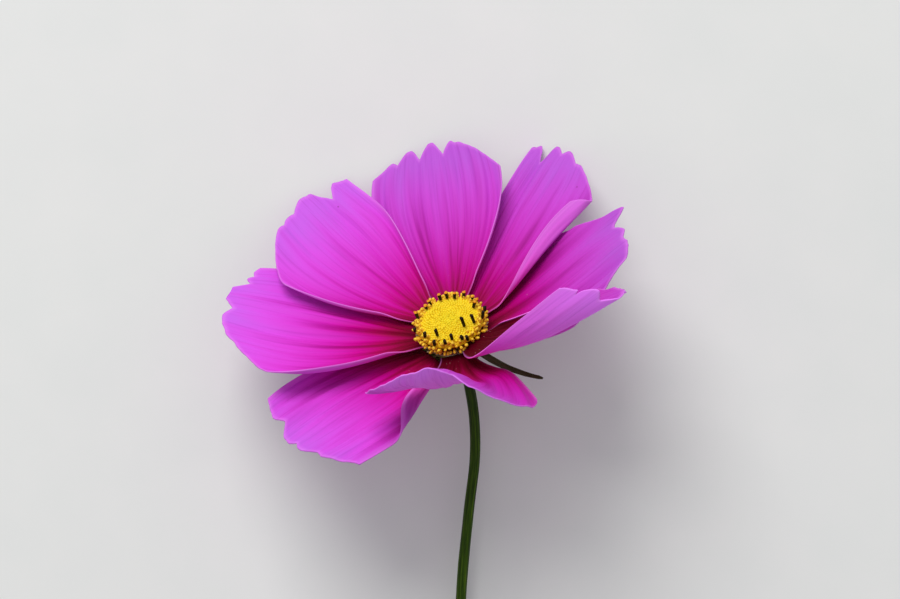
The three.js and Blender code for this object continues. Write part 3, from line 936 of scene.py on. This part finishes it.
bud_shape = bmesh.new()
floret_layers(bud_shape)
for i in range(BUD_COUNT):
    radius = BUD_FIELD * math.sqrt((i + 0.5) / BUD_COUNT)
    out = radius / BUD_FIELD
    bud = bmesh.ops.create_uvsphere(bud_shape, u_segments=6, v_segments=4, radius=1)["verts"]
    for vertex in bud:
        narrowing = 1 - BUD_NARROWING * max(0, vertex.co.z)
        vertex.co.x *= BUD_RADIUS * narrowing
        vertex.co.y *= BUD_RADIUS * narrowing
        vertex.co.z *= BUD_HALF_HEIGHT
    set_rise(bud_shape, bud, -0.3, BUD_HALF_HEIGHT, out)
    lean = BUD_LEAN * out * out + draw.uniform(-9, 9)
    size = draw.uniform(0.9, 1.15) + 0.25 * smooth_step(0.5, 1, out)
    radius += BUD_STRAY * noise.noise(Vector((0.7 * i, 4.0, 9.0)))
    height = dome_height(radius) - BUD_SUNK + draw.uniform(-0.08, 0.1)
    height += 0.15 * smooth_step(0.5, 0.9, out)
    bmesh.ops.transform(
        bud_shape, matrix=upright(radius, i * GOLDEN_ANGLE, height, lean, size), verts=bud
    )
buds = grow("closed_florets", bud_shape, [yolk], HEAD)

for piece in (dome, buds):
    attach(piece, "root")
    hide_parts("disc")


# --- Open florets -------------------------------------------------------------
# Tubular florets round the rim, each a thin tube that flares into five small lobes
# with a round head of golden pollen, grown between the closed florets and the petals.
TUBE_RADIUS = 0.2
TUBE_LENGTH = 1.5
LOBES = 5
LOBE_SPREAD = 0.5
LOBE_DEPTH = 0.2  # of the cuts between the lobes, against their spread
LOBE_RISE = 0.12
HEAD_RADIUS = 0.36
HEAD_SEAT_HEIGHT = 0.22  # of the pollen's ball, over the tube's mouth
HEAD_ROUGHNESS = 0.5
# Rows of open florets: how many, distance from the axis, height, lean and size
FLORET_ROWS = [
    (56, 5.95, 0.75, 74, 0.72),
    (38, 6.3, 1.9, 50, 0.9),
    (34, 5.85, 2.7, 30, 0.95),
    (28, 5.3, 2.95, 18, 0.75),
]


def open_floret(shape, placed, from_axis):
    """A flared tube with a five-lobed mouth and a rough ball of pollen in it."""
    made = bmesh.ops.create_cone(
        shape, segments=10, radius1=TUBE_RADIUS, radius2=LOBE_SPREAD, depth=TUBE_LENGTH,
        cap_ends=True,
    )["verts"]
    for vertex in made:
        if vertex.co.z > 0:
            angle = math.atan2(vertex.co.y, vertex.co.x)
            lobe = math.cos(LOBES * angle)
            vertex.co.xy *= 1 - LOBE_DEPTH + LOBE_DEPTH * lobe
            vertex.co.z += LOBE_RISE * lobe
    ball = bmesh.ops.create_uvsphere(
        shape, u_segments=9, v_segments=7, radius=HEAD_RADIUS
    )["verts"]
    offset = draw.uniform(0, 50)
    for vertex in ball:
        bumpy = noise.noise(vertex.co * 7 + Vector((offset, 0, 0)))
        vertex.co *= 1 + HEAD_ROUGHNESS * bumpy
        vertex.co.z += TUBE_LENGTH / 2 + HEAD_SEAT_HEIGHT
    made += ball
    set_rise(shape, made, -TUBE_LENGTH / 2, TUBE_LENGTH / 2 + 0.4, from_axis)
    bmesh.ops.transform(shape, matrix=placed, verts=made)


open_shape = bmesh.new()
floret_layers(open_shape)
for row, (count, row_radius, row_height, row_lean, row_size) in enumerate(FLORET_ROWS):
    from_axis = 0.7 + 0.1 * (3 - row)
    for i in range(count):
        bearing = math.tau * (i + 0.5 * row + draw.uniform(-0.3, 0.3)) / count
        radius = row_radius + draw.uniform(-0.2, 0.25)
        height = row_height + draw.uniform(-0.2, 0.25)
        lean = row_lean + draw.uniform(-15, 15)
        size = row_size * draw.uniform(0.8, 1.15)
        open_floret(open_shape, upright(radius, bearing, height, lean, size), from_axis)
bmesh.ops.recalc_face_normals(open_shape, faces=open_shape.faces)
open_florets = grow("open_florets", open_shape, [gold], HEAD)
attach(open_florets, "root")
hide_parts("disc")


# --- Anther tubes -------------------------------------------------------------
# Brown-black tubes of fused anthers that stand out of the ripe florets, each split in
# a V at its mouth, which is orange where the pollen comes out.
ANTHER_SIDES = 10
ANTHER_RADIUS = 0.27
ANTHER_FLARE = 1.15
ANTHER_MOUTH = 0.24
ANTHER_SPLIT = 0.9  # depth of the V, against the mouth's height
ANTHER_SEAT = 0.75
ANTHER_SIZE = 1.1
ANTHER_LEAN = 8  # mean lean outward, in degrees, more on the far side of the disc
ANTHER_LEAN_SWING = 14
# Anther tubes: bearing, distance from the axis and length
ANTHERS = [
    (168, 6.2, 1.7),
    (143, 5.5, 0.9),
    (131, 5.4, 1.0),
    (108, 5.2, 1.2),
    (94, 5.3, 1.2),
    (77, 4.9, 1.1),
    (60, 5.6, 1.2),
    (43, 6.1, 0.9),
    (31, 6.1, 1.0),
    (22, 5.1, 1.4),
    (9, 6.9, 1.0),
    (-7, 6.4, 1.7),
    (-22, 5.2, 1.9),
    (-43, 4.1, 2.1),
    (-59, 6.8, 1.0),
    (-66, 6.2, 0.8),
    (-84, 5.5, 1.1),
    (-97, 6.2, 0.9),
    (-115, 6.7, 1.1),
    (-118, 4.7, 1.6),
    (-141, 6.0, 1.1),
    (-165, 6.9, 0.9),
]


def anther_material(name, first, second):
    material, tree, shader = blank_material(name)
    place = wire(tree, "ShaderNodeTexCoord", {}).outputs["Object"]
    grains = wire(
        tree, "ShaderNodeTexNoise", {"Vector": place, "Scale": 3500.0, "Detail": 2.0}
    ).outputs["Fac"]
    tone = ramp(tree, grains, [(0.35, first), (0.7, second)])
    tree.links.new(tone, shader.inputs["Base Color"])
    tree.links.new(fade(tree, grains, 0.3, 0.7, 0.45, 0.65), shader.inputs["Roughness"])
    shader.inputs["Specular IOR Level"].default_value = 0.15
    roughen(tree, shader, grains, 0.05 * MM)
    return material


def round_the_tube(edge):
    """The bearing of an edge's middle, by which a ring of edges is put in order."""
    middle = (edge.verts[0].co + edge.verts[1].co) / 2
    return math.atan2(middle.y, middle.x)


def anther_tube(shape, placed, length, mouth_material):
    ring = bmesh.ops.create_circle(shape, segments=ANTHER_SIDES, radius=ANTHER_RADIUS)["verts"]
    edges = list({edge for vertex in ring for edge in vertex.link_edges})
    edges.sort(key=round_the_tube)
    body = [Matrix.Identity(4), Matrix.Translation((0, 0, length)) @ Matrix.Scale(ANTHER_FLARE, 4)]
    bmesh.ops.edgeloop_fill(shape, edges=edges)
    mouth = sweep(shape, ring, edges, body)
    made = set(ring) | {vertex for edge in mouth for vertex in edge.verts}
    lip = sweep(
        shape,
        list({vertex for edge in mouth for vertex in edge.verts}),
        mouth,
        [Matrix.Identity(4), Matrix.Translation((0, 0, ANTHER_MOUTH))],
    )
    lip.sort(key=round_the_tube)
    rim = {vertex for edge in lip for vertex in edge.verts}
    for vertex in rim:
        split = 1 - abs(vertex.co.x) / ANTHER_RADIUS
        vertex.co.z -= ANTHER_SPLIT * ANTHER_MOUTH * split
    top = bmesh.ops.edgeloop_fill(shape, edges=lip)["faces"]
    for face in {face for vertex in rim for face in vertex.link_faces} | set(top):
        face.material_index = mouth_material
    bmesh.ops.transform(shape, matrix=placed, verts=list(made | rim))


anther_shape = bmesh.new()
for degrees, radius, length in ANTHERS:
    bearing = math.radians(degrees)
    lean = ANTHER_LEAN + ANTHER_LEAN_SWING * math.sin(bearing) + draw.uniform(-12, 12)
    place = upright(radius, bearing, dome_height(radius) + ANTHER_SEAT, lean, ANTHER_SIZE)
    ripe = math.sin(bearing) > 0.2
    anther_tube(anther_shape, place, length - ANTHER_MOUTH, 1 if ripe else 0)
bmesh.ops.recalc_face_normals(anther_shape, faces=anther_shape.faces)
anthers = grow(
    "anther_tubes",
    anther_shape,
    [
        anther_material("anther_wall", paint(14, 8, 2), paint(46, 26, 8)),
        anther_material("anther_mouth", paint(226, 130, 16), paint(250, 186, 50)),
    ],
    HEAD,
)
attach(anthers, "root")
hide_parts("disc")


# --- Scales -------------------------------------------------------------------
# Thin papery scales, one under each floret of the rim. Their pale tips show as a grey
# green fringe between the eye and the petals.
SCALE_COUNT = 60
SCALE_THICKNESS = 0.08
SCALE_FOOT = (5.35, -1.3)
SCALE_WIDTHS = (0.5, 0.44, 0.12)
SCALE_BEND = 24  # how far a scale's tip leans out from its foot


def scale_material():
    material, tree, shader = blank_material("papery_scale")
    blade = wire(tree, "ShaderNodeUVMap", {}, uv_map="blade").outputs["UV"]
    stretched = wire(tree, "ShaderNodeMapping", {"Vector": blade, "Scale": (2.0, 9.0, 1.0)})
    lines = wire(
        tree, "ShaderNodeTexNoise", {"Vector": stretched.outputs["Vector"], "Scale": 1.0}
    ).outputs["Fac"]
    tone = ramp(
        tree,
        lines,
        [(0.3, paint(128, 116, 78)), (0.5, paint(168, 150, 114)), (0.7, paint(212, 192, 164))],
    )
    tree.links.new(tone, shader.inputs["Base Color"])
    shader.inputs["Roughness"].default_value = 0.6
    roughen(tree, shader, lines, 0.1 * MM)
    return material


scale_shapes = []
for i in range(SCALE_COUNT):
    bearing = 360 * (i + draw.uniform(-0.3, 0.3)) / SCALE_COUNT
    lift = draw.uniform(60, 84)
    length = draw.uniform(2.2, 3.0)
    scale_shapes.append(
        bract_shape(
            bearing, SCALE_FOOT, length, (lift, lift - SCALE_BEND), SCALE_WIDTHS, 6, 4, i
        )
    )
scales = grow("papery_scales", merged(scale_shapes), [scale_material()], HEAD)
thicken(scales, SCALE_THICKNESS)
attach(scales, "root")
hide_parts("disc")


# --- Floor --------------------------------------------------------------------
# The plain pale board that the cut flower lies on.
FLOOR_SIZE = 3.0

floor_material, floor_tree, floor_shader = blank_material("floor")
floor_place = wire(floor_tree, "ShaderNodeTexCoord", {}).outputs["Object"]
floor_grain = wire(
    floor_tree, "ShaderNodeTexNoise", {"Vector": floor_place, "Scale": 60.0, "Detail": 4.0}
).outputs["Fac"]
floor_tone = ramp(
    floor_tree, floor_grain, [(0.3, paint(229, 229, 226)), (0.7, paint(232, 231, 228))]
)
floor_tree.links.new(floor_tone, floor_shader.inputs["Base Color"])
floor_shader.inputs["Roughness"].default_value = 0.8

floor_shape = bmesh.new()
bmesh.ops.create_grid(floor_shape, x_segments=1, y_segments=1, size=FLOOR_SIZE / 2 / MM)
floor = grow("floor", floor_shape, [floor_material])


# --- Light --------------------------------------------------------------------
# A pale room, with one large soft lamp on the side that the petals face.
LAMP_PLACE = Vector((-0.35, 1.0, 1.0))
LAMP_SIZE = 0.9
LAMP_POWER = 14.5
ROOM_STRENGTH = 0.5

room = bpy.data.worlds.new("room")
room.use_nodes = True
background = room.node_tree.nodes["Background"]
background.inputs["Color"].default_value = (0.94, 0.97, 1.0, 1.0)
background.inputs["Strength"].default_value = ROOM_STRENGTH
bpy.context.scene.world = room

lamp_data = bpy.data.lights.new("lamp", "AREA")
lamp_data.shape = "DISK"
lamp_data.size = LAMP_SIZE
lamp_data.energy = LAMP_POWER
lamp = bpy.data.objects.new("lamp", lamp_data)
lamp.location = LAMP_PLACE
lamp.rotation_euler = (HEAD_SEAT * MM - LAMP_PLACE).to_track_quat("-Z", "Y").to_euler()
bpy.context.collection.objects.link(lamp)


# --- Camera -------------------------------------------------------------------
# Straight above the flower as it lies, the stem toward the foot of the frame.
CAMERA_FROM_SEAT = Vector((-0.57, 5.985, 900.0))
SENSOR_WIDTH = 23.6
LENS = 124.2

camera_data = bpy.data.cameras.new("camera")
camera_data.sensor_width = SENSOR_WIDTH
camera_data.lens = LENS
camera = bpy.data.objects.new("camera", camera_data)
camera.location = (HEAD_SEAT + CAMERA_FROM_SEAT) * MM
bpy.context.collection.objects.link(camera)
bpy.context.scene.camera = camera
bpy.context.scene.view_settings.view_transform = "Standard"
